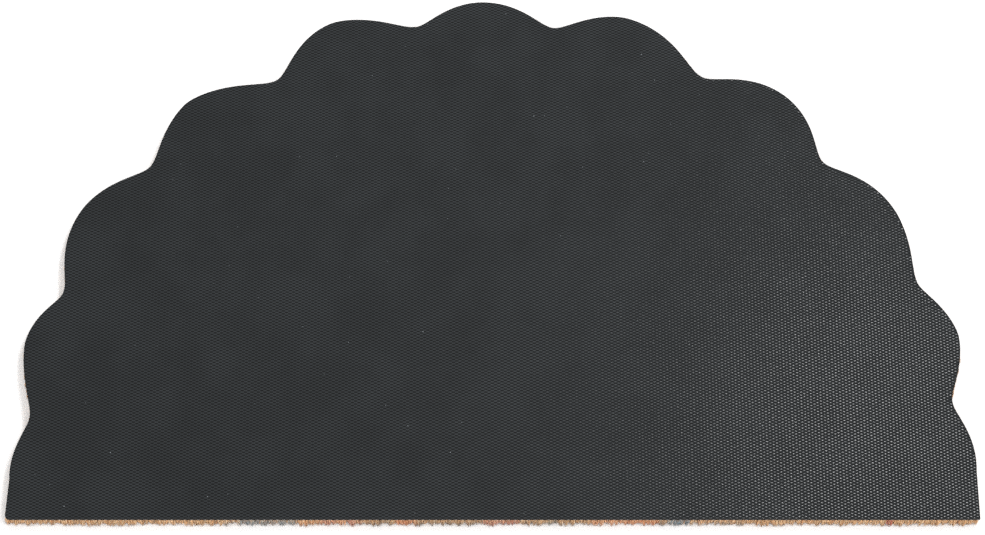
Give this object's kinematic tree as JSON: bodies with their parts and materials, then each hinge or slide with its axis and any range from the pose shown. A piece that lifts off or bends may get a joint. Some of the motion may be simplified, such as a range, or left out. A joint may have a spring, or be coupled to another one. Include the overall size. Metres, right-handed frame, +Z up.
{
  "type": "coir doormat",
  "caption": "Half-moon scalloped coir doormat lying face down, its embossed black vinyl backing uppermost.",
  "frame": {"origin": "on the floor under the middle of the mat", "axes": "+X along the straight edge, -Y out of the straight edge, +Z up, out of the backing"},
  "size_m": [0.7544, 0.4544, 0.015],
  "materials": {
    "vinyl": "semi-matt black vinyl with a fine embossed lattice",
    "coir": "rough natural coir fibre, with dyed tips along the straight edge"
  },
  "bodies": {
    "root": {"backing": "vinyl", "pile": "coir"}
  },
  "joints": []
}
